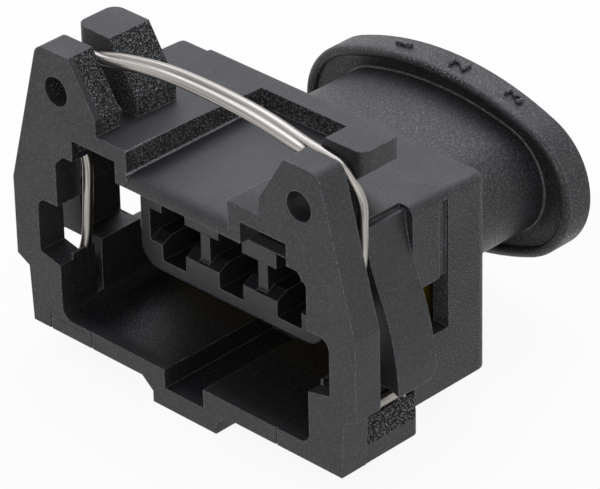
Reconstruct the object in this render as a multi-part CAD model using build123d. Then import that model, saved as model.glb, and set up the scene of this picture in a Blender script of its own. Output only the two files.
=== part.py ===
"""A three-way plug housing for a wire-clip vehicle connector.

The housing is one moulding: a mating shroud with a contact block, four ears for the spring clip,
a body box, and an oval neck with a collar for the rubber boot. A sealing ring sits round the foot
of the contact block, and a bent wire clip straddles the shroud. Units are millimetres, +Z is up.
The mating mouth faces -Y. The origin is the middle of the bounding box, on its lowest plane.
"""
from build123d import *
import os

os.makedirs("parts", exist_ok=True)

# Overall lengths, from the mating face back
PITCH = 5.0               # contact spacing
FRAME_DEPTH = 2.1         # front frame, front to back
SLOT_WIDTH = 1.45         # gap between the front and rear ears, for the wire
EAR_DEPTH = 3.35          # rear ears and guide walls
SHROUD_DEPTH = 11.0       # mating face to the bottom of the socket
BODY_DEPTH = 13.65        # mating face to the rear of the body box
NECK_DEPTH = 23.0         # mating face to the front of the collar
COLLAR_THICK = 2.1

# Front frame, half widths and heights over its lower edge
FRAME_FOOT = 13.5
FRAME_SKIRT = 13.7
FRAME_SKIRT_TOP = 3.9
FRAME_HALF = 14.75
FRAME_LUG_LOW = 4.45
FRAME_LUG_TOP = 10.0
EAR_TOP = 20.3
EAR_OUTER = 12.0
EAR_INNER = 9.15
EAR_ROUND = 0.8
EAR_FOOT = 6.95
EAR_FOOT_TOP = 16.8
EAR_HOLE_X = 10.35
EAR_HOLE_Z = 17.6
EAR_HOLE_R = 1.0

# Roof of the shroud
ROOF_TOP = 15.7
ROOF_REAR = 15.25         # the roof falls a little to the rear
CORNER_CUT_X = 10.35      # small step in the roof's rear left corner
CORNER_CUT_Y = 12.95
CORNER_CUT_LOW = 14.2
RECESS_HALF = 4.35
RECESS_FLOOR = 14.05
RECESS_DEPTH = 11.75
RECESS_ROLL = 0.7

# Mating mouth, and the socket behind it
FLOOR_TOP = 1.2
MOUTH_TOP = 13.1
MOUTH_HALF = 10.8
MOUTH_ROUND = 0.8
LUMP_CHAMFER = 0.75
LOW_WALL_THICK = 1.1
LOW_WALL_OUTER = MOUTH_HALF + LOW_WALL_THICK
LOW_WALL_TOP = 5.4
SOCKET_DEEP_WALL = 4.75   # top of the low walls beside the windows
SOCKET_STEP = 0.9         # the socket is wider than the mouth above the low walls
SOCKET_HALF = MOUTH_HALF + SOCKET_STEP
NOTCH_REACH = 1.8         # side notches beyond the mouth
NOTCH_HALF = MOUTH_HALF + NOTCH_REACH
NOTCH_LOW = 5.0
NOTCH_TOP = 9.3
LIP_THICK = 0.2           # thin lip that closes the foot of the wire slot
LIP_TOP = 5.4
LIP_BACK = 3.0
LIP_ROUND = 0.6
CHANNEL_INNER = 5.35
CHANNEL_OUTER = 9.2
CHANNEL_TOP = 14.6

# Rear ears and guide walls
REAR_EAR_OUTER = 12.2
REAR_EAR_LIP = 1.45
REAR_EAR_ROOT = 8.35
GUIDE_SHOULDER = 12.35
GUIDE_TOP = 15.25
GUIDE_CURVE = [(12.4, 14.6), (12.8, 12.7), (13.35, 11.3), (14.0, 9.7), (14.5, 7.9), (14.8, 6.2)]
GUIDE_TOE = 14.9
GUIDE_TOE_LOW = 4.65
GUIDE_HEEL = 14.1
GUIDE_BOTTOM = 4.95
GUIDE_ROUND = 0.9

# Body box
BODY_SIDE = 0.4           # side wall beside the notch channel
BODY_HALF = NOTCH_HALF + BODY_SIDE
BODY_BOTTOM = 1.6
BODY_ROUND = 1.0
BODY_SHOULDER = 0.65      # rounding along the roof's side edges
GROOVE_FRONT = 9.2        # shallow upright groove in the side, above each window
GROOVE_DEPTH = 0.2
GROOVE_TOP = 14.9
WINDOW_FRONT = 7.0
WINDOW_LENGTH = 3.0
WINDOW_LOW = 5.9
WINDOW_LOW_LEFT = 4.2
WINDOW_TOP = 9.7

# Feet beside the floor
FOOT_OUTER = 13.46
FOOT_INNER = 12.75
FOOT_STEP = 1.25
FOOT_TOP = 2.5
FOOT_ROUND = 0.6
FLOOR_HALF = 11.9
FLOOR_REAR_HALF = MOUTH_HALF + 0.3
FLOOR_ROOT = 1.0          # how far the floor and the rib reach into the walls above them

# Key rib under the floor
KEY_DROP = 1.55
KEY_HALF = 2.76
KEY_ROOT = 3.7
KEY_RECESS_HALF = 1.7
KEY_RECESS_LOW = -0.15

# Contact block
BLOCK_FRONT = 4.36
BLOCK_HALF = 7.88
BLOCK_LOW = 4.63
BLOCK_TOP = 10.4
BLOCK_ROUND = 1.5
CAVITY_HALF = 2.1
CAVITY_LOW = 6.5
CAVITY_RAMP = 0.45        # the cavity's lower face rises by this much
CAVITY_RAMP_LENGTH = 0.9
CAVITY_TOP = 8.8
POST_SETBACK = 0.3        # the posts between the cavities stand behind the block's face
SLOT_HALF = 1.03
SLOT_LOW = 5.4
SLOT_TOP = 9.9
BORE_R = 2.05
BORE_Z = 7.9
BORE_FRONT = 12.5
LEAD_IN = 0.45

# Neck, collar and wire outlet
NECK_Z = 7.8
NECK_HALF_X = 8.9
NECK_HALF_Z = 4.5
NECK_END_R = 3.8
COLLAR_HALF_X = 11.4
COLLAR_HALF_Z = 6.25
COLLAR_END_R = 5.0
COLLAR_BEVEL = 0.25
COLLAR_RIM = 0.3          # flat band on the collar's front face
COLLAR_UNDERCUT = 0.35    # hollow of the front face, between the band and the neck
OUTLET_WALL = 0.9
OUTLET_FRONT = 16.5

# Sealing ring
SEAL_DEPTH = 1.4
SEAL_CLEARANCE = 0.1

# Spring clip
WIRE_D = 0.62
WIRE_GAP = 0.1            # between the wire and the moulding
WIRE_SIDES = 16           # the wire's section is a polygon, so the mesh stays light
BOW_TOP = 20.25
BOW_BEND = (10.6, 19.25)  # where the bow turns down into a leg
BOW_FRONT_END = (8.0, 19.6)
BOW_REAR_END = (-9.7, 19.35)
LEG_KNEE = (12.6, 17.5)
LEG_THIGH = (12.4, 15.5)
LEG_WAIST = (10.85, 11.75)
LEG_LOW = (11.45, 5.2)
LEG_FOOT = (12.33, 2.95)
BOW_R = 90.0
SHOULDER_R = 1.6
LEG_R = 2.0
KNEE_R = 0.9
FOOT_R = 0.8
CLIP_BACK_Y = 6.4
CLIP_BAR_Z = -0.75

# Shallow mould lines on the lower front face
MOULD_LINES = [-11.9, -8.2, 8.0]
INSERT_TOP = 0.85         # the mark of a mould insert between the two lines on the left
MOULD_LINE_WIDTH = 0.12
MOULD_LINE_DEPTH = 0.1

LENGTH = NECK_DEPTH + COLLAR_THICK
EAR_FRONT = FRAME_DEPTH + SLOT_WIDTH
EAR_BACK = EAR_FRONT + EAR_DEPTH
SLOT_INNER = LEG_WAIST[0] - WIRE_D / 2 - WIRE_GAP
PLACE = Pos(0, -LENGTH / 2, KEY_DROP)
OVER = 0.01               # cuts run this far past a face


def outline(*points):
    """A closed face from X-Z points."""
    return make_face(Polyline(*points, close=True))


def both(half):
    """A half outline on +X, with its mirror image."""
    return half + mirror(half, about=Plane.YZ)


def depth(face, front, back):
    """An X-Z face pulled from one depth to another."""
    return extrude(Plane.XZ.offset(-front) * face, amount=front - back)


def block(half_x, front, back, low, high):
    """A box across the middle."""
    size = (2 * half_x, back - front, high - low)
    return Pos(0, (front + back) / 2, (low + high) / 2) * Box(*size)


def side_block(inner, outer, front, back, low, high, side=1):
    """A box on one side of the middle."""
    centre = (side * (inner + outer) / 2, (front + back) / 2, (low + high) / 2)
    return Pos(*centre) * Box(outer - inner, back - front, high - low)


def oval(half_x, half_z, end_r):
    """An oval of four tangent arcs, centred on the neck's axis."""
    reach = half_x - end_r
    big_r = (reach ** 2 + half_z ** 2 - end_r ** 2) / (2 * (half_z - end_r))
    drop = big_r - half_z
    joint_x = big_r * reach / (big_r - end_r)
    joint_z = big_r * drop / (big_r - end_r) - drop
    arch = ThreePointArc((-joint_x, joint_z), (0, half_z), (joint_x, joint_z))
    right = ThreePointArc((joint_x, joint_z), (half_x, 0), (joint_x, -joint_z))
    left = ThreePointArc((-joint_x, -joint_z), (-half_x, 0), (-joint_x, joint_z))
    base = ThreePointArc((joint_x, -joint_z), (0, -half_z), (-joint_x, -joint_z))
    return Pos(0, NECK_Z) * make_face([arch, right, base, left])


def rounded(face, radius, *corners):
    """A face with its corners near the given points rounded."""
    near = [min(face.vertices(), key=lambda v: (v.X - x) ** 2 + (v.Y - z) ** 2) for x, z in corners]
    return fillet(near, radius)


def frame_outline():
    """The front frame with both ears, seen from the front."""
    half = outline(
        (0, 0), (FRAME_FOOT, 0), (FRAME_SKIRT, FRAME_SKIRT_TOP), (FRAME_HALF, FRAME_LUG_LOW),
        (FRAME_HALF, FRAME_LUG_TOP), (EAR_OUTER, EAR_TOP), (EAR_INNER, EAR_TOP),
        (EAR_FOOT, EAR_FOOT_TOP), (EAR_FOOT, ROOF_TOP), (RECESS_HALF, ROOF_TOP),
        (RECESS_HALF, RECESS_FLOOR), (0, RECESS_FLOOR))
    return both(rounded(half, EAR_ROUND, (EAR_OUTER, EAR_TOP)))


def mouth_outline():
    """The opening in the front frame."""
    half = outline(
        (0, FLOOR_TOP), (MOUTH_HALF, FLOOR_TOP), (MOUTH_HALF, NOTCH_LOW),
        (NOTCH_HALF, LOW_WALL_TOP), (NOTCH_HALF, NOTCH_TOP), (MOUTH_HALF, NOTCH_TOP),
        (MOUTH_HALF, MOUTH_TOP), (0, MOUTH_TOP))
    half = rounded(half, MOUTH_ROUND, (MOUTH_HALF, FLOOR_TOP))
    half = rounded(half, MOUTH_ROUND, (NOTCH_HALF, NOTCH_TOP))
    corner = [min(half.vertices(), key=lambda v: (v.X - MOUTH_HALF) ** 2 + (v.Y - MOUTH_TOP) ** 2)]
    return both(chamfer(corner, LUMP_CHAMFER))


def socket_outline():
    """The hollow behind the frame, down to the foot of the contact block."""
    half = outline(
        (0, FLOOR_TOP), (MOUTH_HALF, FLOOR_TOP), (MOUTH_HALF, LOW_WALL_TOP),
        (SOCKET_HALF, LOW_WALL_TOP), (SOCKET_HALF, MOUTH_TOP), (0, MOUTH_TOP))
    half = rounded(half, MOUTH_ROUND, (MOUTH_HALF, FLOOR_TOP))
    return both(half)


def wire_slot_outline():
    """The slot that the clip's leg runs in, on +X, open to the side."""
    side = FRAME_HALF + 1
    return outline(
        (MOUTH_HALF, -KEY_DROP), (MOUTH_HALF, NOTCH_LOW), (SLOT_INNER, NOTCH_LOW),
        (SLOT_INNER, EAR_TOP + 1), (side, EAR_TOP + 1), (side, -KEY_DROP))


def rear_ear_outline():
    """One rear ear: a leaning arm with an overhanging head."""
    face = outline(
        (EAR_INNER, EAR_TOP), (REAR_EAR_OUTER, EAR_TOP),
        (REAR_EAR_OUTER, EAR_TOP - REAR_EAR_LIP), (REAR_EAR_ROOT, ROOF_TOP),
        (REAR_EAR_ROOT, RECESS_FLOOR), (EAR_FOOT, RECESS_FLOOR), (EAR_FOOT, EAR_FOOT_TOP))
    return face


def guide_outline():
    """One guide wall: it stands out like a leaf from the shoulder down."""
    shoulder = (GUIDE_SHOULDER, GUIDE_TOP)
    toe = (GUIDE_TOE, GUIDE_TOE_LOW)
    leaf = Spline(shoulder, *GUIDE_CURVE, toe)
    rest = Polyline(toe, (GUIDE_HEEL, GUIDE_BOTTOM), (SOCKET_HALF, GUIDE_BOTTOM), (SOCKET_HALF, GUIDE_TOP), shoulder)
    return make_face([leaf, rest])


def front_frame():
    """The plate with the mouth and the two front ears."""
    plate = depth(frame_outline(), 0, FRAME_DEPTH)
    lip = plate.edges().filter_by(Axis.X).filter_by_position(Axis.Y, -0.01, 0.01)
    lip = lip.filter_by_position(Axis.Z, RECESS_FLOOR - 0.01, RECESS_FLOOR + 0.01)
    return fillet(lip, RECESS_ROLL)


def below_roof():
    """Everything under the slope of the roof, as a wide wedge to trim with."""
    profile = Polyline((0, -1), (BODY_DEPTH, -1), (BODY_DEPTH, ROOF_REAR), (FRAME_DEPTH, ROOF_TOP),
                       (0, ROOF_TOP), close=True)
    return extrude(Plane.YZ * make_face(profile), amount=FRAME_HALF, both=True)


def shroud():
    """The tube behind the frame: floor, roof and low side walls."""
    tube = block(LOW_WALL_OUTER, FRAME_DEPTH, EAR_BACK, FLOOR_TOP, ROOF_TOP)
    floor = block(FLOOR_HALF, FRAME_DEPTH, EAR_BACK, 0, FLOOR_TOP + FLOOR_ROOT)
    rear_floor = block(FLOOR_REAR_HALF, EAR_BACK, BODY_DEPTH, 0, FLOOR_TOP + FLOOR_ROOT)
    return (tube & below_roof()) + floor + rear_floor


def body_box():
    """The box that joins the shroud to the neck, with its side walls round the socket."""
    box = block(BODY_HALF, EAR_BACK, BODY_DEPTH, BODY_BOTTOM, ROOF_TOP) & below_roof()
    rear = box.faces().sort_by(Axis.Y)[-1]
    box = fillet(rear.edges().filter_by(Axis.Z), BODY_ROUND)
    roof = box.faces().sort_by(Axis.Z)[-1]
    shoulders = [e for e in roof.edges() if abs(e.center().X) > BODY_HALF - OVER]
    box = fillet(shoulders, BODY_SHOULDER)
    corner = side_block(CORNER_CUT_X, BODY_HALF + 1, CORNER_CUT_Y, BODY_DEPTH + 1,
                        CORNER_CUT_LOW, ROOF_TOP, -1)
    return box - corner


def guides():
    """The guide walls and rear ears on both sides."""
    wall = depth(guide_outline(), EAR_FRONT, EAR_BACK)
    heel = wall.edges().filter_by_position(Axis.Y, EAR_BACK - OVER, EAR_BACK + OVER)
    heel = heel.filter_by_position(Axis.Z, GUIDE_TOE_LOW - 1, GUIDE_BOTTOM + OVER)
    wall = fillet(heel, GUIDE_ROUND)
    ear = depth(rear_ear_outline(), EAR_FRONT, EAR_BACK)
    tip = ear.edges().filter_by(Axis.Z).filter_by_position(
        Axis.X, REAR_EAR_OUTER - 0.01, REAR_EAR_OUTER + 0.01)
    ear = fillet(tip, EAR_ROUND)
    half = wall + ear
    return half + mirror(half, about=Plane.YZ)


def feet():
    """Two low bars that stand back from the frame under the guide walls."""
    bar = outline(
        (FOOT_INNER, 0), (FOOT_OUTER, 0), (FOOT_OUTER, FOOT_STEP), (FOOT_INNER, FOOT_TOP))
    half = depth(bar, FRAME_DEPTH - 1, EAR_BACK)
    tip = half.edges().filter_by(Axis.Z).filter_by_position(Axis.Y, EAR_BACK - OVER, EAR_BACK + OVER)
    half = fillet(tip.sort_by(Axis.X)[-1:], FOOT_ROUND)
    return half + mirror(half, about=Plane.YZ)


def slot_lips():
    """Thin lips inside the foot of each wire slot, joined to the frame."""
    lip = side_block(MOUTH_HALF, MOUTH_HALF + LIP_THICK, FRAME_DEPTH - 1, LIP_BACK, 0, LIP_TOP)
    corner = lip.edges().filter_by(Axis.X).sort_by(Axis.Y)[-2:].sort_by(Axis.Z)[:1]
    lip = fillet(corner, LIP_ROUND)
    return lip + mirror(lip, about=Plane.YZ)


def key_rib():
    """The polarising rib under the floor. The part rests on it."""
    half = outline((0, -KEY_DROP), (KEY_HALF, -KEY_DROP), (KEY_HALF, -KEY_DROP / 2),
                   (KEY_ROOT, 0), (KEY_ROOT, FLOOR_ROOT), (0, FLOOR_ROOT))
    return depth(both(half), 0, BODY_DEPTH)


def neck_and_collar():
    """The oval neck with the collar that holds the boot. The collar's front face is hollow."""
    collar = depth(oval(COLLAR_HALF_X, COLLAR_HALF_Z, COLLAR_END_R), NECK_DEPTH, LENGTH)
    collar = chamfer(collar.faces().sort_by(Axis.Y)[-1].edges(), COLLAR_BEVEL)
    neck = oval(NECK_HALF_X, NECK_HALF_Z, NECK_END_R)
    band = oval(COLLAR_HALF_X - COLLAR_RIM, COLLAR_HALF_Z - COLLAR_RIM, COLLAR_END_R - COLLAR_RIM)
    mouth = Plane.XZ.offset(-NECK_DEPTH) * band
    root = Plane.XZ.offset(-NECK_DEPTH - COLLAR_UNDERCUT) * neck
    collar -= loft([mouth, root])
    return collar + depth(neck, SHROUD_DEPTH, NECK_DEPTH + COLLAR_THICK / 2)


def cavity_slot(x):
    """The front opening of one contact cavity: the slot above and below."""
    return Pos(x, (SLOT_LOW + SLOT_TOP) / 2) * Rectangle(2 * SLOT_HALF, SLOT_TOP - SLOT_LOW)


def cavity_wide(x):
    """The wide part of a cavity. Its lower face rises from the front as a lead-in."""
    ramp_back = BLOCK_FRONT + CAVITY_RAMP_LENGTH
    ramp_top = CAVITY_LOW + CAVITY_RAMP
    profile = Polyline(
        (BLOCK_FRONT - 1, CAVITY_LOW), (BLOCK_FRONT, CAVITY_LOW), (ramp_back, ramp_top),
        (BORE_FRONT, ramp_top), (BORE_FRONT, CAVITY_TOP), (BLOCK_FRONT - 1, CAVITY_TOP), close=True)
    return Pos(x, 0, 0) * extrude(Plane.YZ * make_face(profile), amount=CAVITY_HALF, both=True)


def contact_block():
    """The block that holds the contacts, standing free in the socket."""
    half = outline((0, BLOCK_LOW), (BLOCK_HALF, BLOCK_LOW), (BLOCK_HALF, BLOCK_TOP), (0, BLOCK_TOP))
    half = rounded(half, BLOCK_ROUND, (BLOCK_HALF, BLOCK_LOW))
    solid = depth(both(half), BLOCK_FRONT, SHROUD_DEPTH + 1)
    top = solid.edges().filter_by(Axis.X).filter_by_position(
        Axis.Y, BLOCK_FRONT - 0.01, BLOCK_FRONT + 0.01)
    return chamfer(top.sort_by(Axis.Z)[-1:], LEAD_IN)


def contact_places():
    """The X of each contact, left to right."""
    return [-PITCH, 0, PITCH]


def housing():
    """The whole moulding."""
    solid = shroud() + front_frame() + body_box() + guides() + key_rib()
    solid += neck_and_collar()
    solid -= depth(mouth_outline(), -1, FRAME_DEPTH + OVER)
    solid -= depth(socket_outline(), FRAME_DEPTH, SHROUD_DEPTH)
    channel_low = MOUTH_TOP - OVER
    channel = Pos((CHANNEL_INNER + CHANNEL_OUTER) / 2, (channel_low + CHANNEL_TOP) / 2)
    channel = channel * Rectangle(CHANNEL_OUTER - CHANNEL_INNER, CHANNEL_TOP - channel_low)
    solid -= depth(both(channel), -1, SHROUD_DEPTH)
    solid += contact_block()
    for x in contact_places():
        solid -= depth(cavity_slot(x), BLOCK_FRONT - 1, BORE_FRONT)
        solid -= cavity_wide(x)
        bore = Pos(x, BORE_Z) * Circle(BORE_R)
        solid -= depth(bore, BORE_FRONT - OVER, OUTLET_FRONT + OVER)
    for side in (-1, 1):
        post = side * PITCH / 2
        solid -= Pos(post, 0, 0) * block(PITCH / 2 - CAVITY_HALF + OVER, BLOCK_FRONT - 1,
                                         BLOCK_FRONT + POST_SETBACK, CAVITY_LOW, CAVITY_TOP)
    outlet = oval(NECK_HALF_X - OUTLET_WALL, NECK_HALF_Z - OUTLET_WALL, NECK_END_R - OUTLET_WALL)
    solid -= depth(outlet, OUTLET_FRONT, LENGTH + 1)
    slot = depth(wire_slot_outline(), FRAME_DEPTH, EAR_FRONT)
    solid -= slot + mirror(slot, about=Plane.YZ)
    solid += feet() + slot_lips()
    window_back = WINDOW_FRONT + WINDOW_LENGTH
    for side in (-1, 1):
        low = WINDOW_LOW_LEFT if side < 0 else WINDOW_LOW
        solid -= side_block(SOCKET_HALF - OVER, NOTCH_HALF, FRAME_DEPTH, WINDOW_FRONT + OVER,
                            LOW_WALL_TOP, NOTCH_TOP, side)
        solid -= side_block(SOCKET_HALF - OVER, BODY_HALF + 1, WINDOW_FRONT, window_back,
                            low, WINDOW_TOP, side)
        solid -= side_block(BODY_HALF - GROOVE_DEPTH, BODY_HALF + 1, GROOVE_FRONT, window_back,
                            WINDOW_TOP - OVER, GROOVE_TOP, side)
        solid -= side_block(MOUTH_HALF - OVER, LOW_WALL_OUTER, WINDOW_FRONT, SHROUD_DEPTH,
                            SOCKET_DEEP_WALL, LOW_WALL_TOP + OVER, side)
        hole = Pos(side * EAR_HOLE_X, EAR_HOLE_Z) * Circle(EAR_HOLE_R)
        solid -= depth(hole, -1, FRAME_DEPTH + OVER)
    for x in MOULD_LINES:
        solid -= Pos(x, 0, 0) * block(MOULD_LINE_WIDTH / 2, -1, MOULD_LINE_DEPTH, -1, FLOOR_TOP)
    left, right = MOULD_LINES[:2]
    solid -= Pos((left + right) / 2, 0, 0) * block(
        (right - left) / 2, -1, MOULD_LINE_DEPTH, INSERT_TOP, INSERT_TOP + MOULD_LINE_WIDTH)
    solid -= block(KEY_RECESS_HALF, -1, SHROUD_DEPTH - SEAL_DEPTH, KEY_RECESS_LOW, FLOOR_TOP + OVER)
    solid -= block(RECESS_HALF, FRAME_DEPTH, RECESS_DEPTH, RECESS_FLOOR, ROOF_TOP + 1)
    bar_room = WIRE_D / 2 + WIRE_GAP
    solid -= block(FRAME_HALF, CLIP_BACK_Y - bar_room, CLIP_BACK_Y + bar_room,
                   -KEY_DROP - 1, CLIP_BAR_Z + bar_room)
    return solid


def seal():
    """The sealing ring round the foot of the contact block."""
    half_x = MOUTH_HALF - SEAL_CLEARANCE
    low = FLOOR_TOP + SEAL_CLEARANCE
    high = MOUTH_TOP - SEAL_CLEARANCE
    outer = Pos(0, (low + high) / 2) * RectangleRounded(2 * half_x, high - low, MOUTH_ROUND)
    ring = depth(outer, SHROUD_DEPTH - SEAL_DEPTH, SHROUD_DEPTH)
    hole = block(BLOCK_HALF + SEAL_CLEARANCE, 0, SHROUD_DEPTH + 1,
                 BLOCK_LOW - SEAL_CLEARANCE, BLOCK_TOP + SEAL_CLEARANCE)
    return ring - hole


def at_depth(points, y, side=1):
    """X-Z points moved to one depth, on +X or mirrored."""
    return [(side * x, y, z) for x, z in points]


def clip_wire(points, radii):
    """Wire along straight runs with tangent bends."""
    path = FilletPolyline(*points, radius=radii)
    start = Plane(origin=path @ 0, z_dir=path % 0)
    return sweep(start * RegularPolygon(WIRE_D / 2, WIRE_SIDES), path=path)


def spring_clip():
    """The clip: two legs, two overlapping bow strands, and a bar under the floor."""
    front = FRAME_DEPTH + WIRE_GAP + WIRE_D / 2
    back = front + WIRE_D
    leg = [BOW_BEND, LEG_KNEE, LEG_THIGH, LEG_WAIST, LEG_LOW, LEG_FOOT]
    top = (0, BOW_TOP)
    under = [(LEG_FOOT[0], CLIP_BACK_Y, LEG_FOOT[1]), (LEG_FOOT[0], CLIP_BACK_Y, CLIP_BAR_Z)]
    right = at_depth([BOW_REAR_END, top] + leg, back) + under
    left = at_depth([BOW_FRONT_END, top], front) + at_depth(leg, front, -1)
    left += [(-x, y, z) for x, y, z in under]
    bends = [BOW_R, SHOULDER_R, KNEE_R, LEG_R, LEG_R, FOOT_R, FOOT_R, FOOT_R, FOOT_R]
    return clip_wire(right + left[::-1], bends + bends[::-1])


if __name__ == "__main__":
    pieces = {"housing": housing(), "interface_seal": seal(), "spring_clip": spring_clip()}
    for name, solid in pieces.items():
        export_step(PLACE * solid, f"parts/{name}.step")
        print(name, len(solid.solids()), round(solid.volume, 2))
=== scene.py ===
# %% [markdown]
# # A black plug housing with a wire spring clip
#
# The object is a small moulded housing, about 30 mm wide. It is a glass-filled plastic that looks
# black in the shade and grey where it mirrors the room. A bright bent wire sits over its ears.
# The moulding, the sealing ring and the clip come from the frame, at their real size. This lesson
# gives them their finish, adds what is too fine for the moulding, and sets up the studio.

# %% Load the frame
import math

import bmesh
import bpy
from mathutils import Matrix, Vector


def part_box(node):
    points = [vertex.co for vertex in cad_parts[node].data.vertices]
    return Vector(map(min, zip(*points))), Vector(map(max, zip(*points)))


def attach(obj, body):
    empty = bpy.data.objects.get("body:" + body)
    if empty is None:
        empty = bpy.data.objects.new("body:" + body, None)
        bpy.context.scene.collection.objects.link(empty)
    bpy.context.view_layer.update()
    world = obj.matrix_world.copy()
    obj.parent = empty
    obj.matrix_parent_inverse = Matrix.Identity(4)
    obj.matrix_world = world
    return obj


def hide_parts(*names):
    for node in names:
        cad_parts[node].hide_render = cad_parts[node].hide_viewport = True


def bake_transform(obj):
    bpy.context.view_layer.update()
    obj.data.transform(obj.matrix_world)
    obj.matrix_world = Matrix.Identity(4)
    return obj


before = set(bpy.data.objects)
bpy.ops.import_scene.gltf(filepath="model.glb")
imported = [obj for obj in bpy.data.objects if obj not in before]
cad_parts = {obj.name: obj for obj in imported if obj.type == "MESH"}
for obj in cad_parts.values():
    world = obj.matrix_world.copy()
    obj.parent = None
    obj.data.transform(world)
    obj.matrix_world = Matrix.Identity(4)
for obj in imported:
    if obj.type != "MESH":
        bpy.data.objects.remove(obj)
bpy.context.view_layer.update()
MM = 0.001
housing_low, housing_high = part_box("housing")
print("housing box in mm:", [round(v / MM, 2) for v in (*housing_low, *housing_high)])

# %% [markdown]
# ## Places on the moulding
#
# The front face of the moulding, its middle and the underside of its front frame are the three
# planes that everything else is measured from. Each place below is a distance in millimetres from
# them, turned to metres in the frame by one function. Two more give only its depth or its height.

# %% Places
FRONT_Y = housing_low.y
KEY_DROP = 1.55 * MM        # the key rib stands this far under the frame's foot
FRAME_FOOT_Z = housing_low.z + KEY_DROP


def at(x, y, z):
    """A point x mm right of the middle, y mm behind the front face, z mm over the frame's foot."""
    return Vector((x * MM, FRONT_Y + y * MM, FRAME_FOOT_Z + z * MM))


def behind(y):
    """The frame's Y of a place y mm behind the front face."""
    return at(0, y, 0).y


def over(z):
    """The frame's Z of a place z mm over the frame's foot."""
    return at(0, 0, z).z


print("front face at", round(FRONT_Y / MM, 2), "mm, frame foot at", round(FRAME_FOOT_Z / MM, 2), "mm")

# %% [markdown]
# ## Colours and nodes
#
# Colours are picked as sRGB hex values, because that is how a colour reads off a swatch. Cycles
# works in linear light, so one function converts them. One more function adds a node with its
# settings and links, so that a material reads as a short list of steps.

# %% Colour and node helpers
def linear(hex_colour):
    """An sRGB hex colour as linear RGBA."""
    channels = [int(hex_colour[i:i + 2], 16) / 255 for i in (1, 3, 5)]
    return (*[c / 12.92 if c <= 0.04045 else ((c + 0.055) / 1.055) ** 2.4 for c in channels], 1)


def add_node(tree, kind, settings=None, **inputs):
    """A node of that kind, with its settings, and inputs that are values or other nodes' outputs.

    An input is given by its name, or by its number with a low line before it, as in _0 for the
    first, where several inputs share a name.
    """
    node = tree.nodes.new(kind)
    for name, value in (settings or {}).items():
        setattr(node, name, value)
    for name, value in inputs.items():
        key = int(name[1:]) if name[0] == "_" and name[1:].isdigit() else name.replace("_", " ")
        if isinstance(value, bpy.types.NodeSocket):
            tree.links.new(value, node.inputs[key])
        else:
            node.inputs[key].default_value = value
    return node


def new_material(name):
    """A material with no nodes yet, and its node tree."""
    material = bpy.data.materials.new(name)
    material.use_nodes = True
    material.node_tree.nodes.clear()
    return material, material.node_tree


print("white in linear light:", linear("#ffffff"), "and middle grey:", round(linear("#808080")[0], 3))

# %% [markdown]
# ## The housing's plastic
#
# The real thing is black glass-filled polyester, injection moulded. The mould was cut by spark
# erosion, which leaves a grain of fine pits on the plastic. Where the steel was polished, as on the
# roof, the plastic is smooth with a soft sheen. Where it was left as cut, on the slopes of the ears,
# the sides of the recess and the tops of the feet, each pit sparkles or is black.
#
# One material does both, because the moulding is one piece. A mask says how rough each place is. It
# is worked out from the place and the direction of the surface in object coordinates, so that it
# holds from every side.

# %% Grain sizes
GRAIN = 0.125 * MM          # one pit of the spark-eroded grain
MATT = 0.085 * MM           # the finer grain on the polished faces
PATCH = 2.4 * MM            # slow change of sheen across a face
PIT_DEPTH = 0.05 * MM
print("pits across the housing:", round((housing_high.x - housing_low.x) / GRAIN))

# %% [markdown]
# ## Masks
#
# A mask says where a finish holds, from 0 to 1. Each of its limits is a value, such as a height or
# the way that a face looks, with the number at which the finish starts and the number at which it is
# full. The mask is the product of its limits, which is easy to read and to change one by one.

# %% Mask helper
def within(tree, *limits):
    """1 where every limit holds, 0 where one does not, and a soft step between.

    A limit is a value, the number at which it starts to hold and the number at which it fully does.
    """
    share = 1.0
    for value, starts, holds in limits:
        step = add_node(tree, "ShaderNodeMapRange", Value=value, From_Min=starts, From_Max=holds)
        share = add_node(tree, "ShaderNodeMath", {"operation": "MULTIPLY"}, _0=share,
                         _1=step.outputs["Result"]).outputs[0]
    return share


def place_on_part(tree):
    """Where a point of the surface is, and how far it is from the middle to either side."""
    place = add_node(tree, "ShaderNodeTexCoord").outputs["Object"]
    place = add_node(tree, "ShaderNodeSeparateXYZ", Vector=place).outputs
    sideways = add_node(tree, "ShaderNodeMath", {"operation": "ABSOLUTE"}, _0=place["X"]).outputs[0]
    return place, sideways


# %% [markdown]
# ## Where the steel was left as cut
#
# The slopes of the ears and the sides of the roof's recess look sideways, over the mouth and behind
# the front face. The tops of the feet are tilted, low down and far out. The body's sides have a
# fainter grain, which grows towards the rear, and the neck and the collar have the most of it.

# %% As-cut mask
BODY_BAND = (6.0, 9.0)      # mm behind the front face, over which the body's grain grows
BODY_GRAIN = (0.14, 0.30)   # on the body's sides, before and after that band
NECK_BAND = (13.4, 14.2)    # mm behind the front face, where the neck starts
NECK_GRAIN = 0.36           # on the neck and the collar
LEAST_GRAIN = 0.10          # on the polished faces


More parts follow.
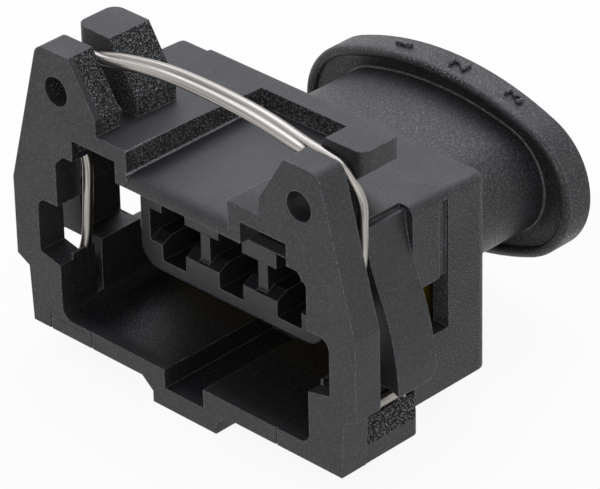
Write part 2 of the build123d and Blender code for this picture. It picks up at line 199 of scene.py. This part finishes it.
def as_cut_mask(tree):
    """How rough the mould's steel was left: 0 where it was polished, 1 where it is as cut."""
    place, sideways = place_on_part(tree)
    facing = add_node(tree, "ShaderNodeTexCoord").outputs["Normal"]
    facing = add_node(tree, "ShaderNodeSeparateXYZ", Vector=facing).outputs
    up = add_node(tree, "ShaderNodeMath", {"operation": "ABSOLUTE"}, _0=facing["Z"]).outputs[0]
    outward = add_node(tree, "ShaderNodeMath", {"operation": "MULTIPLY"}, _0=place["X"],
                       _1=facing["X"]).outputs[0]
    steep = (up, 0.9, 0.6)
    behind_front = (place["Y"], behind(0.3), behind(0.6))
    over_mouth = (place["Z"], over(13.3), over(13.8))
    inner = (outward, 8 * MM, 4 * MM)
    ear_face = within(tree, (facing["Y"], -0.6, -0.9), (sideways, 8.8 * MM, 9.2 * MM))
    not_ear_face = (ear_face, 1.0, 0.0)
    not_rear = (facing["Y"], 0.7, 0.4)
    slopes = within(tree, steep, behind_front, over_mouth, inner, not_ear_face, not_rear)
    tilted = (facing["Z"], 0.2, 0.4)
    low = (place["Z"], over(2.9), over(2.7))
    far_out = (sideways, 12.60 * MM, 12.68 * MM)
    feet = within(tree, tilted, behind_front, low, far_out)
    body = add_node(tree, "ShaderNodeMapRange", Value=place["Y"], From_Min=behind(BODY_BAND[0]),
                    From_Max=behind(BODY_BAND[1]), To_Min=BODY_GRAIN[0], To_Max=BODY_GRAIN[1])
    sides = add_node(tree, "ShaderNodeMath", {"operation": "MULTIPLY"},
                     _0=body.outputs["Result"], _1=within(tree, steep)).outputs[0]
    neck = add_node(tree, "ShaderNodeMapRange", Value=place["Y"], From_Min=behind(NECK_BAND[0]),
                    From_Max=behind(NECK_BAND[1]), To_Max=NECK_GRAIN).outputs["Result"]
    mask = LEAST_GRAIN
    for share in (slopes, feet, sides, neck):
        mask = add_node(tree, "ShaderNodeMath", {"operation": "MAXIMUM"}, _0=mask,
                        _1=share).outputs[0]
    return mask


# %% [markdown]
# ## The mouth's walls
#
# The mouth was made by a steel core that is drawn out of the plastic. The core is polished so that
# the part lets go of it, which leaves the walls and the floor of the mouth smoother than the rest.

# %% Mouth mask
def mouth_mask(tree):
    """1 on the walls of the mouth."""
    place, sideways = place_on_part(tree)
    between = (sideways, 10.95 * MM, 10.85 * MM)
    under_roof = (place["Z"], over(14.1), over(14.0))
    deep = (place["Y"], behind(0.4), behind(1.2))
    return within(tree, between, under_roof, deep)


# %% [markdown]
# ## The recess's bright edges
#
# The long edges of the recess in the roof are sharp, and their inner sides catch the light in a thin
# line. The line is too fine to model, so it is drawn by its place.

# %% Recess rim
RECESS_HALF = 4.35 * MM     # half width of the recess
RECESS_END = 11.75          # mm behind the front face
RECESS_FLOOR = 14.05
ROOF_TOP = 15.7
RIM = 0.14 * MM             # width of the bright line


def recess_rim(tree):
    """1 along the upper and lower long edges of the recess's sides."""
    place, sideways = place_on_part(tree)
    near_wall = (sideways, RECESS_HALF - RIM, RECESS_HALF - RIM / 2)
    not_roof = (sideways, RECESS_HALF + 0.02 * MM, RECESS_HALF + 0.01 * MM)
    along = (place["Y"], behind(RECESS_END + 0.1), behind(RECESS_END))
    top = (place["Z"], over(ROOF_TOP) - RIM, over(ROOF_TOP) - RIM / 2)
    foot = (place["Z"], over(RECESS_FLOOR) + RIM, over(RECESS_FLOOR) + RIM / 2)
    not_under = (place["Z"], over(RECESS_FLOOR - 0.1), over(RECESS_FLOOR - 0.05))
    upper = within(tree, near_wall, not_roof, along, top)
    lower = within(tree, near_wall, not_roof, along, foot, not_under)
    return add_node(tree, "ShaderNodeMath", {"operation": "MAXIMUM"}, _0=upper, _1=lower).outputs[0]


# %% [markdown]
# ## Colour of the plastic
#
# The colour is a mix of a pit and a peak colour, and the as-cut mask sets how far apart they are.
# On the as-cut faces the pale peaks are painted sparkle and the near-black pits are painted shade.
# Where the surface turns at an edge, a touch of paler colour is a painted highlight along the
# edge. A fine noise breaks that up, and the bright line along the recess too.

# %% Plastic colour
SMOOTH_PIT = "#17171a"
SMOOTH_PEAK = "#29292d"
# the as-cut pit colour is painted shade in the pits, and the as-cut peak colour is painted sparkle
CUT_PIT_SHADE = "#070808"
CUT_PEAK_SPARKLE = "#7d7f82"
# the paler edge colour is a painted highlight, not polish
PAINTED_EDGE_HIGHLIGHT = "#8d8e93"
RIM_GLINT = "#b2b3b8"
EDGE_HIGHLIGHT_SHARE = 0.8                  # share of the painted highlight on the edges
PEAKS = (0.50, 0.64)        # where a pit of the noise ends and a peak is full


def plastic_colour(tree, as_cut, pits, matt):
    """The colour of the grain, smooth or as cut, with painted sparkle and shade where it is as cut.
    """
    smooth = add_node(tree, "ShaderNodeMix", {"data_type": "RGBA"},
                      Factor=within(tree, (matt, 0.35, 0.65)), _6=linear(SMOOTH_PIT),
                      _7=linear(SMOOTH_PEAK)).outputs[2]
    cut = add_node(tree, "ShaderNodeMix", {"data_type": "RGBA"},
                   Factor=within(tree, (pits, *PEAKS)), _6=linear(CUT_PIT_SHADE),
                   _7=linear(CUT_PEAK_SPARKLE)).outputs[2]
    return add_node(tree, "ShaderNodeMix", {"data_type": "RGBA"}, Factor=as_cut, _6=smooth,
                    _7=cut).outputs[2]


def edge_colour(tree, colour, rounding, pits, matt):
    """That colour with a painted highlight along its edges, and the bright line along the recess."""
    true_normal = add_node(tree, "ShaderNodeNewGeometry").outputs["Normal"]
    flatness = add_node(tree, "ShaderNodeVectorMath", {"operation": "DOT_PRODUCT"},
                        _0=rounding, _1=true_normal).outputs["Value"]
    # where the surface turns at an edge, a pale colour is painted in as a highlight
    edge = within(tree, (flatness, 0.965, 0.80), (pits, 0.35, 0.6))
    highlight_share = add_node(tree, "ShaderNodeMath", {"operation": "MULTIPLY"}, _0=edge, _1=EDGE_HIGHLIGHT_SHARE).outputs[0]
    highlighted_colour = add_node(tree, "ShaderNodeMix", {"data_type": "RGBA"}, Factor=highlight_share, _6=colour,
                     _7=linear(PAINTED_EDGE_HIGHLIGHT)).outputs[2]
    glint = within(tree, (recess_rim(tree), 0.0, 1.0), (matt, 0.38, 0.58))
    return add_node(tree, "ShaderNodeMix", {"data_type": "RGBA"}, Factor=glint, _6=highlighted_colour,
                    _7=linear(RIM_GLINT)).outputs[2]


# %% [markdown]
# ## The whole plastic
#
# The Bevel node rounds the light on the edges, as the mould's own small radii do, and more so on the
# collar. The grain's height goes through a Bump node, weak where the steel was polished. A peak of
# the grain is glossier than a pit, so it sparkles. The IOR is that of a plain polyester.

# %% Housing plastic
EDGE = 0.13 * MM            # rounding of the moulding's edges
COLLAR_EDGE = 0.36 * MM     # and of the collar's, which a rubber boot is pulled over
COLLAR_BAND = (22.5, 22.7)  # mm behind the front face, where the collar starts
SHEEN = (0.40, 0.52)        # roughness of the smooth faces, from patch to patch
MOUTH_SHEEN = 0.24
SPARKLE = (0.95, 0.38)      # roughness of a pit and of a peak
SMOOTH_RELIEF = 0.25        # strength of the smooth faces' bump


def housing_plastic():
    """Black glass-filled polyester, smooth or with a spark-eroded grain."""
    material, tree = new_material("spark_eroded_polyester")
    place = add_node(tree, "ShaderNodeTexCoord").outputs["Object"]
    as_cut = as_cut_mask(tree)
    pits = add_node(tree, "ShaderNodeTexNoise", Vector=place, Scale=1 / GRAIN, Detail=3.0,
                    Roughness=0.65).outputs["Fac"]
    matt = add_node(tree, "ShaderNodeTexNoise", Vector=place, Scale=1 / MATT, Detail=2.0,
                    Roughness=0.6).outputs["Fac"]
    patch = add_node(tree, "ShaderNodeTexNoise", Vector=place, Scale=1 / PATCH,
                     Detail=3.0).outputs["Fac"]
    sheen = add_node(tree, "ShaderNodeMapRange", Value=patch, From_Min=0.3, From_Max=0.7,
                     To_Min=SHEEN[0], To_Max=SHEEN[1]).outputs["Result"]
    polished = add_node(tree, "ShaderNodeMix", Factor=mouth_mask(tree), _2=sheen,
                        _3=MOUTH_SHEEN).outputs[0]
    sparkle = add_node(tree, "ShaderNodeMapRange", Value=pits, From_Min=PEAKS[0],
                       From_Max=PEAKS[1], To_Min=SPARKLE[0], To_Max=SPARKLE[1]).outputs["Result"]
    gloss = add_node(tree, "ShaderNodeMix", Factor=as_cut, _2=polished, _3=sparkle).outputs[0]
    depth = add_node(tree, "ShaderNodeSeparateXYZ", Vector=place).outputs["Y"]
    radius = add_node(tree, "ShaderNodeMapRange", Value=depth, From_Min=behind(COLLAR_BAND[0]),
                      From_Max=behind(COLLAR_BAND[1]), To_Min=EDGE,
                      To_Max=COLLAR_EDGE).outputs["Result"]
    rounding = add_node(tree, "ShaderNodeBevel", {"samples": 8}, Radius=radius).outputs["Normal"]
    height = add_node(tree, "ShaderNodeMix", Factor=as_cut, _2=matt, _3=pits).outputs[0]
    relief = add_node(tree, "ShaderNodeMapRange", Value=as_cut, To_Min=SMOOTH_RELIEF)
    bump = add_node(tree, "ShaderNodeBump", Height=height, Strength=relief.outputs["Result"],
                    Distance=PIT_DEPTH, Normal=rounding).outputs["Normal"]
    # the grain's colour carries painted sparkle and pit shade, and its edges a painted highlight
    colour = plastic_colour(tree, as_cut, pits, matt)
    finish = edge_colour(tree, colour, rounding, pits, matt)
    shader = add_node(tree, "ShaderNodeBsdfPrincipled", Base_Color=finish, Roughness=gloss,
                      IOR=1.5, Normal=bump)
    add_node(tree, "ShaderNodeOutputMaterial", Surface=shader.outputs["BSDF"])
    return material


def dress(node, material):
    """Gives a frame node that keeps its shape its real finish."""
    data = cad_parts[node].data
    data.materials.clear()
    data.materials.append(material)
    print("dressed", node, "with", material.name, "of", len(material.node_tree.nodes), "nodes")


plastic = housing_plastic()
dress("housing", plastic)

# %% [markdown]
# ## The sealing ring
#
# The ring is ochre silicone rubber, moulded with a satin skin. It shows only through the side
# window and past the contact block, in deep shade, so a soft sheen and a faint mottle are enough.

# %% Seal rubber
SEAL_MOTTLE = 0.8 * MM      # size of the faint darker and paler spots
# both seal colours are ochre darkened towards olive as painted shade; the mottle between them is its
# own
SEAL_SHADED_DARK = "#6b5c14"
SEAL_SHADED_PALE = "#857321"


def seal_rubber():
    """Ochre silicone with a faint mottle, its colour darkened towards olive as painted shade."""
    material, tree = new_material("moulded_ochre_silicone")
    place = add_node(tree, "ShaderNodeTexCoord").outputs["Object"]
    mottle = add_node(tree, "ShaderNodeTexNoise", Vector=place, Scale=1 / SEAL_MOTTLE,
                      Detail=2.0).outputs["Fac"]
    colour = add_node(tree, "ShaderNodeMix", {"data_type": "RGBA"}, Factor=mottle,
                      _6=linear(SEAL_SHADED_DARK), _7=linear(SEAL_SHADED_PALE)).outputs[2]
    shader = add_node(tree, "ShaderNodeBsdfPrincipled", Base_Color=colour, Roughness=0.55, IOR=1.43)
    add_node(tree, "ShaderNodeOutputMaterial", Surface=shader.outputs["BSDF"])
    return material


dress("interface_seal", seal_rubber())

# %% [markdown]
# ## Closed meshes
#
# A curve that is turned into a mesh keeps its caps as loose discs. Each new piece is a closed skin
# on the real thing, so its doubles are merged and its faces are turned outwards. An edge of a closed
# skin has two faces, so the number of other edges tells whether it worked.

# %% Closing helper
SAME_PLACE = 0.001 * MM     # corners nearer than this are one corner
SMOOTH_ANGLE = math.radians(40)


def close_skin(piece):
    """Merges a mesh's doubles, turns its faces outwards and counts the edges left open."""
    bpy.ops.object.select_all(action="DESELECT")
    piece.select_set(True)
    bpy.context.view_layer.objects.active = piece
    bpy.ops.object.mode_set(mode="EDIT")
    bpy.ops.mesh.select_all(action="SELECT")
    bpy.ops.mesh.remove_doubles(threshold=SAME_PLACE)
    bpy.ops.mesh.normals_make_consistent(inside=False)
    bpy.ops.object.mode_set(mode="OBJECT")
    skin = bmesh.new()
    skin.from_mesh(piece.data)
    open_edges = sum(not edge.is_manifold for edge in skin.edges)
    volume = skin.calc_volume(signed=True) / MM ** 3
    print(piece.name, len(skin.faces), "faces,", open_edges, "open edges,", round(volume, 2), "mm3")
    skin.free()


# %% [markdown]
# ## The spring clip
#
# The clip is one length of hard-drawn stainless wire, 0.7 mm thick, bent on a forming machine. Its
# two ends lie side by side over the roof, where a thumb presses them down. It could be swept with a
# Screw or Array modifier, but a wire is simplest as a path with a round bevel: the points are the
# places where the machine bent it, and the NURBS spline runs smoothly past them.

# %% Bends of the wire
WIRE_THICK = 0.70 * MM
BACK_STRAND = 3.18          # mm behind the front face
FRONT_STRAND = 2.47
CUT_END = 0.7               # the sheared ends are rounded to this share of the wire
BACK_END = [(-10.2, 18.84), (-10.05, 18.9)]
FRONT_END = [(8.4, 19.56), (8.25, 19.6)]
ARCH = [(-8.4, 19.45), (-5.8, 20.0), (-3.2, 20.38), (0.0, 20.46), (3.1, 20.36), (5.6, 20.1),
        (7.9, 19.62)]
ARCH_FOOT = (9.6, 19.42)
SHOULDER = [(10.85, 19.25), (11.5, 18.5), (12.25, 17.75), (12.5, 17.0), (12.46, 16.0)]
RIGHT_LEG = [(12.44, 14.6), (12.3, 12.6), (11.8, 9.5), (11.5, 6.5), (11.75, 4.6), (12.3, 3.3)]
LEFT_LEG = [(12.2, 15.2), (11.3, 13.4), (10.5, 11.9), (10.52, 10.4), (10.7, 8.3), (10.9, 5.7),
            (11.6, 4.2), (12.3, 3.3)]
FOOT = [(12.4, 3.0, 2.9), (12.4, 4.4, 2.8), (12.4, 6.3, 2.8), (12.4, 6.4, 2.4), (12.4, 6.4, -0.3),
        (12.2, 6.4, -0.72), (9.0, 6.4, -0.75)]
print("bends in one leg:", len(SHOULDER + RIGHT_LEG + FOOT))


# %% Route of the wire
def wire_route():
    """Places along the wire, from the end of the back strand to the end of the front one."""
    right = [(x, BACK_STRAND, z) for x, z in BACK_END + ARCH + [ARCH_FOOT] + SHOULDER + RIGHT_LEG]
    left = [(x, FRONT_STRAND, z) for x, z in FRONT_END + ARCH[:6][::-1]]
    left += [(-x, FRONT_STRAND, z) for x, z in [ARCH_FOOT] + SHOULDER + LEFT_LEG]
    left += [(-x, y, z) for x, y, z in FOOT]
    return right + FOOT + left[::-1]


print("places along the wire:", len(wire_route()))


# %% Bend the wire
def bend_wire():
    """The clip as a mesh tube on its route."""
    bpy.ops.object.select_all(action="DESELECT")
    bpy.ops.curve.primitive_nurbs_path_add(location=(0, 0, 0))
    wire = bpy.context.object
    wire.name = "bent_wire_clip"
    spline = wire.data.splines[0]
    route = [at(*place) for place in wire_route()]
    spline.points.add(len(route) - len(spline.points))
    for point, place in zip(spline.points, route):
        point.co = (*place, 1)
    for end in (0, -1):
        spline.points[end].radius = CUT_END
    spline.order_u = 3
    spline.use_endpoint_u = True
    wire.data.resolution_u = 10
    wire.data.bevel_depth = WIRE_THICK / 2
    wire.data.bevel_resolution = 6
    wire.data.use_fill_caps = True
    bpy.ops.object.convert(target="MESH")
    close_skin(wire)
    bpy.ops.object.shade_smooth_by_angle(angle=SMOOTH_ANGLE)
    return wire


clip = bend_wire()
print("its uv maps:", [uv.name for uv in clip.data.uv_layers])

# %% [markdown]
# Drawing the wire through a die leaves it bright, with fine scratches along its length. They follow
# the wire round its bends, so they are drawn on the tube's own UV map, where one axis runs along the
# wire and the other round it. The scratches are a noise stretched to long thin streaks.

# %% Spring wire
WIRE_LENGTH = 118 * MM      # along its route
WIRE_ROUND = math.pi * WIRE_THICK
STREAK_LONG = 6.0 * MM
STREAK_WIDE = 0.10 * MM     # real scratches are finer; this is the finest that shows
STEEL_DARK = "#86827e"
STEEL_BRIGHT = "#b9b4ae"
STEEL_GLOSS = (0.36, 0.26)  # roughness of a dark and of a bright streak
SCRATCH_DEPTH = 0.01 * MM


def spring_wire():
    """Hard-drawn stainless steel wire."""
    material, tree = new_material("drawn_stainless_steel")
    along = add_node(tree, "ShaderNodeUVMap", {"uv_map": "UVMap"}).outputs["UV"]
    stretched = add_node(tree, "ShaderNodeMapping", Vector=along,
                         Scale=(WIRE_LENGTH / STREAK_LONG, WIRE_ROUND / STREAK_WIDE, 1)).outputs[0]
    streak = add_node(tree, "ShaderNodeTexNoise", Vector=stretched, Scale=1.0,
                      Detail=2.0).outputs["Fac"]
    bright = within(tree, (streak, 0.35, 0.65))
    colour = add_node(tree, "ShaderNodeMix", {"data_type": "RGBA"}, Factor=bright,
                      _6=linear(STEEL_DARK), _7=linear(STEEL_BRIGHT)).outputs[2]
    rough = add_node(tree, "ShaderNodeMapRange", Value=bright, To_Min=STEEL_GLOSS[0],
                     To_Max=STEEL_GLOSS[1]).outputs["Result"]
    bump = add_node(tree, "ShaderNodeBump", Height=streak, Strength=0.25, Distance=SCRATCH_DEPTH)
    shader = add_node(tree, "ShaderNodeBsdfPrincipled", Base_Color=colour, Metallic=1.0,
                      Roughness=rough, Normal=bump.outputs["Normal"])
    add_node(tree, "ShaderNodeOutputMaterial", Surface=shader.outputs["BSDF"])
    return material


clip.data.materials.clear()
clip.data.materials.append(spring_wire())
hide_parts("spring_clip")
print("scratches round the wire:", round(WIRE_ROUND / STREAK_WIDE))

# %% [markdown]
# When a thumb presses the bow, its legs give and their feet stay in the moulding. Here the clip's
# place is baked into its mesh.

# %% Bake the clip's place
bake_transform(clip)

# %% [markdown]
# ## The cavity numbers
#
# The collar carries a small raised number for each contact. They are plain text objects, given a
# little depth, made a mesh, and set on the curve of the collar.

# %% Cavity numbers
NUMBER_SIZE = 1.85 * MM     # capital height is about 0.7 of this
NUMBER_RELIEF = 0.22 * MM
NUMBER_EDGE = 0.03 * MM     # bevel of the strokes
NUMBER_PLACES = {"1": (-3.45, 23.84), "2": (1.29, 23.82), "3": (5.73, 24.14)}
COLLAR_TOP = 14.05          # mm over the frame's foot
COLLAR_CURVE = 22.0         # mm, radius of the collar's top


def raised_number(digit, x, y):
    """One number on the collar's top, tilted as the curve is there."""
    bpy.ops.object.select_all(action="DESELECT")
    bpy.ops.object.text_add(location=(0, 0, 0))
    number = bpy.context.object
    number.data.body = digit
    number.data.size = NUMBER_SIZE
    number.data.align_x = "CENTER"
    number.data.align_y = "CENTER"
    number.data.extrude = NUMBER_RELIEF
    number.data.bevel_depth = NUMBER_EDGE
    number.data.bevel_resolution = 1
    bpy.ops.object.convert(target="MESH")
    tilt = math.asin(x / COLLAR_CURVE)
    z = COLLAR_TOP - COLLAR_CURVE * (1 - math.cos(tilt))
    sideways = Matrix.Rotation(math.pi / 2, 4, "Z")
    number.matrix_world = Matrix.Translation(at(x, y, z)) @ Matrix.Rotation(tilt, 4, "Y") @ sideways
    bpy.ops.object.transform_apply(location=True, rotation=True, scale=True)
    return number


# %% Set the numbers on the collar
numbers = [raised_number(digit, *place) for digit, place in NUMBER_PLACES.items()]
for number in numbers:
    number.select_set(True)
bpy.context.view_layer.objects.active = numbers[0]
bpy.ops.object.join()
cavity_numbers = bpy.context.object
cavity_numbers.name = "cavity_numbers"
close_skin(cavity_numbers)
cavity_numbers.data.materials.clear()
cavity_numbers.data.materials.append(plastic)
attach(cavity_numbers, "housing")

# %% [markdown]
# ## The collar's lip
#
# The front edge of the collar is a rolled lip, over which the rubber boot snaps. On the moulding it
# is a plain corner, so a round bead is laid on it: a mesh circle is pulled to the collar's oval,
# made a curve, and given a round bevel.

# %% Oval of the collar
LIP_R = 0.36                # mm, as are the next five
LIP_Y = 23.0
COLLAR_HALF_X = 11.4
COLLAR_HALF_Z = 6.25
COLLAR_END_R = 5.0
COLLAR_AXIS_Z = 7.8
LIP_POINTS = 144


def oval_point(turn, inset):
    """A point of the collar's oval, which has a flat arc over and under a tight arc at each end."""
    half_x = COLLAR_HALF_X - inset
    half_z = COLLAR_HALF_Z - inset
    end_r = COLLAR_END_R - inset
    reach = half_x - end_r
    flat_r = (reach ** 2 + half_z ** 2 - end_r ** 2) / (2 * (half_z - end_r))
    joint = math.atan2(reach, flat_r - half_z)
    across = math.sin(turn)
    up = math.cos(turn)
    if abs(math.atan2(across, abs(up))) < joint:
        centre = Vector((0, (half_z - flat_r) * math.copysign(1, up)))
        return centre + flat_r * Vector((across, up))
    centre = Vector((math.copysign(reach, across), 0))
    return centre + end_r * Vector((across, up))


print("end of the oval at", [round(v, 2) for v in oval_point(math.pi / 2, LIP_R)], "mm")


# %% Collar lip
def collar_lip():
    """The rounded front edge of the collar."""
    bpy.ops.object.select_all(action="DESELECT")
    bpy.ops.mesh.primitive_circle_add(vertices=LIP_POINTS, radius=COLLAR_HALF_X * MM)
    lip = bpy.context.object
    lip.name = "collar_lip"
    for index, vertex in enumerate(lip.data.vertices):
        across, up = oval_point(2 * math.pi * index / LIP_POINTS, LIP_R)
        vertex.co = at(across, LIP_Y, COLLAR_AXIS_Z + up)
    bpy.ops.object.convert(target="CURVE")
    lip.data.bevel_depth = LIP_R * MM
    lip.data.bevel_resolution = 4
    bpy.ops.object.convert(target="MESH")
    close_skin(lip)
    bpy.ops.object.shade_smooth_by_angle(angle=SMOOTH_ANGLE)
    lip.data.materials.clear()
    lip.data.materials.append(plastic)
    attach(lip, "housing")


collar_lip()

# %% [markdown]
# ## The studio
#
# The photograph has a plain white ground and soft light from above. A wide pale floor carries the
# shadow, and a large soft box over the part gives the top faces their sheen. Rays that come from
# the camera or from a mirror see the white room at full strength, and as a lamp it is dimmer, which
# leaves the insides of the housing dark.

# %% White room
FLOOR_SIZE = 2.0
ROOM_LIGHT = 0.45
FLOOR_GLOW = 0.92           # how much of the floor's white is its own, so that its shadow is faint


def seen_directly(tree):
    """1 for rays from the camera, a mirror or glass, and 0 for light that falls on things."""
    path = add_node(tree, "ShaderNodeLightPath").outputs
    seen = path["Is Camera Ray"]
    for ray in ("Is Glossy Ray", "Is Transmission Ray"):
        seen = add_node(tree, "ShaderNodeMath", {"operation": "MAXIMUM"}, _0=seen,
                        _1=path[ray]).outputs[0]
    return seen


def white_world():
    """A white room, dimmer as a lamp."""
    world = bpy.data.worlds.new("studio_world")
    world.use_nodes = True
    tree = world.node_tree
    tree.nodes.clear()
    strength = add_node(tree, "ShaderNodeMapRange", Value=seen_directly(tree),
                        To_Min=ROOM_LIGHT).outputs["Result"]
    light = add_node(tree, "ShaderNodeBackground", Color=linear("#ffffff"), Strength=strength)
    add_node(tree, "ShaderNodeOutputWorld", Surface=light.outputs["Background"])
    bpy.context.scene.world = world


def pale_floor():
    """A wide floor under the part."""
    bpy.ops.object.select_all(action="DESELECT")
    bpy.ops.mesh.primitive_plane_add(size=FLOOR_SIZE, location=(0, 0, housing_low.z))
    floor = bpy.context.object
    floor.name = "floor"
    material, tree = new_material("pale_floor")
    shader = add_node(tree, "ShaderNodeBsdfDiffuse", Color=linear("#fafafa"))
    glow = add_node(tree, "ShaderNodeEmission", Color=linear("#ffffff"), Strength=1.0)
    share = add_node(tree, "ShaderNodeMath", {"operation": "MULTIPLY"}, _0=seen_directly(tree),
                     _1=FLOOR_GLOW).outputs[0]
    mix = add_node(tree, "ShaderNodeMixShader", Fac=share, _1=shader.outputs["BSDF"],
                   _2=glow.outputs["Emission"])
    add_node(tree, "ShaderNodeOutputMaterial", Surface=mix.outputs["Shader"])
    floor.data.materials.append(material)


white_world()
pale_floor()
print("floor at", round(housing_low.z / MM, 2), "mm, room light", ROOM_LIGHT)

# %% Soft lamps
OVERHEAD_BOX = {"place": (-0.20, 0.15, 0.50), "size": 0.60, "power": 2.0, "tint": "#eef0ff"}
FRONT_FILL = {"place": (0.35, -0.35, 0.35), "size": 0.40, "power": 0.35, "tint": "#ffffff"}


def soft_lamp(name, place, size, power, tint):
    """A square soft lamp that looks at the middle of the part."""
    data = bpy.data.lights.new(name, "AREA")
    data.size = size
    data.energy = power
    data.color = linear(tint)[:3]
    lamp = bpy.data.objects.new(name, data)
    lamp.location = place
    aim = (housing_low + housing_high) / 2 - Vector(place)
    lamp.rotation_euler = aim.to_track_quat("-Z", "Y").to_euler()
    bpy.context.scene.collection.objects.link(lamp)
    print(name, round(aim.length, 2), "m away,", power, "W")


soft_lamp("overhead_box", **OVERHEAD_BOX)
soft_lamp("front_fill", **FRONT_FILL)

# %% [markdown]
# ## The camera
#
# The camera stands at the photograph's angle: 45 degrees round to the right of the mating face and
# 31 degrees up, with a long lens and a slight roll.

# %% Camera
AZIMUTH = math.radians(44.859)
ELEVATION = math.radians(30.734)
ROLL = math.radians(-1.291)
DISTANCE = 254.73 * MM
TARGET = at(16.874, -6.514, 20.524)   # a point on the line of sight
SENSOR = 36.0
PHOTO_WIDTH = 600
FOCAL_PIXELS = 4531.1                 # focal length, in pixels of the photograph


def photo_camera():
    """The camera at the photograph's viewpoint."""
    data = bpy.data.cameras.new("photo_camera")
    data.sensor_width = SENSOR
    data.lens = FOCAL_PIXELS * SENSOR / PHOTO_WIDTH
    data.clip_start = 0.01
    data.clip_end = 5.0
    flat = Vector((math.sin(AZIMUTH), -math.cos(AZIMUTH), 0))
    back = flat * math.cos(ELEVATION) + Vector((0, 0, math.sin(ELEVATION)))
    right = Vector((math.cos(AZIMUTH), math.sin(AZIMUTH), 0))
    up = back.cross(right)
    rolled_right = right * math.cos(ROLL) + up * math.sin(ROLL)
    rolled_up = up * math.cos(ROLL) - right * math.sin(ROLL)
    camera = bpy.data.objects.new("photo_camera", data)
    turn = Matrix((rolled_right, rolled_up, back)).transposed()
    camera.matrix_world = Matrix.Translation(TARGET + back * DISTANCE) @ turn.to_4x4()
    bpy.context.scene.collection.objects.link(camera)
    bpy.context.scene.camera = camera


photo_camera()
bpy.context.scene.view_settings.view_transform = "Standard"
print("lens:", round(bpy.context.scene.camera.data.lens, 1), "mm")
